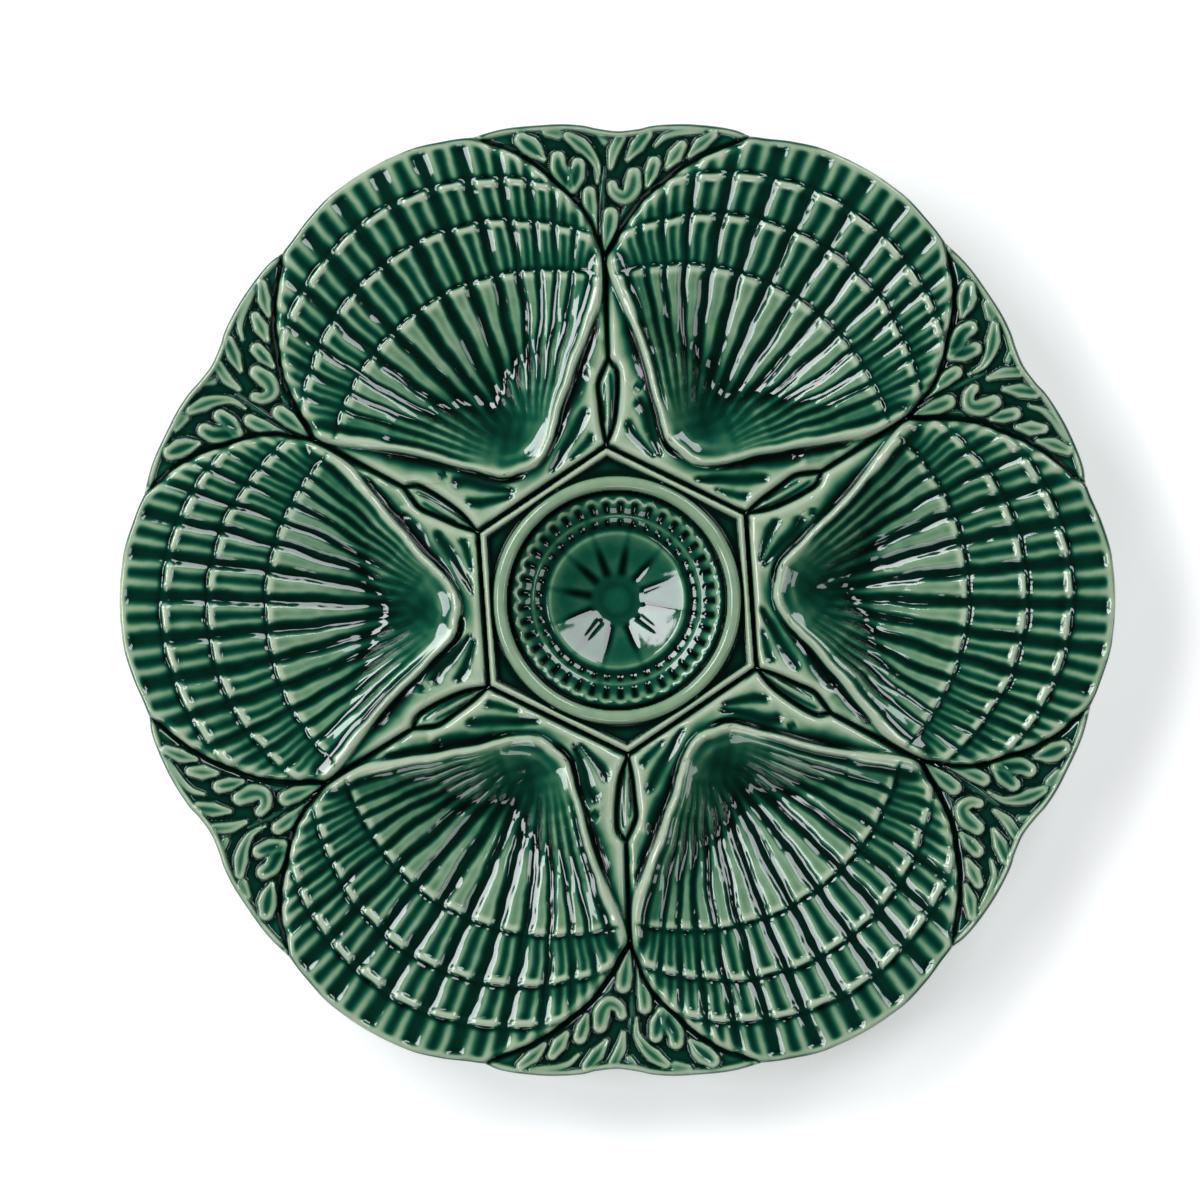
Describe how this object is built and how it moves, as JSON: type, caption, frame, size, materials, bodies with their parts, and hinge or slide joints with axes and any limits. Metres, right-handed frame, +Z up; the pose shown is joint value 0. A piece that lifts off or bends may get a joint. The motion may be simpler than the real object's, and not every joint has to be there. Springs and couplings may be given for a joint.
{
  "type": "oyster plate",
  "caption": "Round green majolica oyster plate with scallop-shell wells round a central sauce cup, on a foot ring.",
  "frame": {"origin": "on the table, under the centre of the plate, at the bottom of the foot ring", "axes": "+Z up out of the plate's face, +X along the middle line of one shell"},
  "size_m": [0.2488, 0.238, 0.0219],
  "materials": {
    "shell": "translucent green majolica glaze, gloss, pale on the ribs and near black in the grooves",
    "seaweed": "translucent green majolica glaze, gloss",
    "leaf_bud": "translucent green majolica glaze, gloss",
    "sauce_collar": "translucent green majolica glaze, gloss",
    "sauce_cup": "translucent green majolica glaze, gloss",
    "foot_ring": "unglazed buff earthenware, matt"
  },
  "bodies": {
    "root": {"shell_1": "shell", "shell_2": "shell", "shell_3": "shell", "shell_4": "shell", "shell_5": "shell", "shell_6": "shell", "seaweed_1": "seaweed", "seaweed_2": "seaweed", "seaweed_3": "seaweed", "seaweed_4": "seaweed", "seaweed_5": "seaweed", "seaweed_6": "seaweed", "leaf_bud_1": "leaf_bud", "leaf_bud_2": "leaf_bud", "leaf_bud_3": "leaf_bud", "leaf_bud_4": "leaf_bud", "leaf_bud_5": "leaf_bud", "leaf_bud_6": "leaf_bud", "sauce_collar": "sauce_collar", "sauce_cup": "sauce_cup", "foot_ring": "foot_ring"}
  },
  "joints": []
}
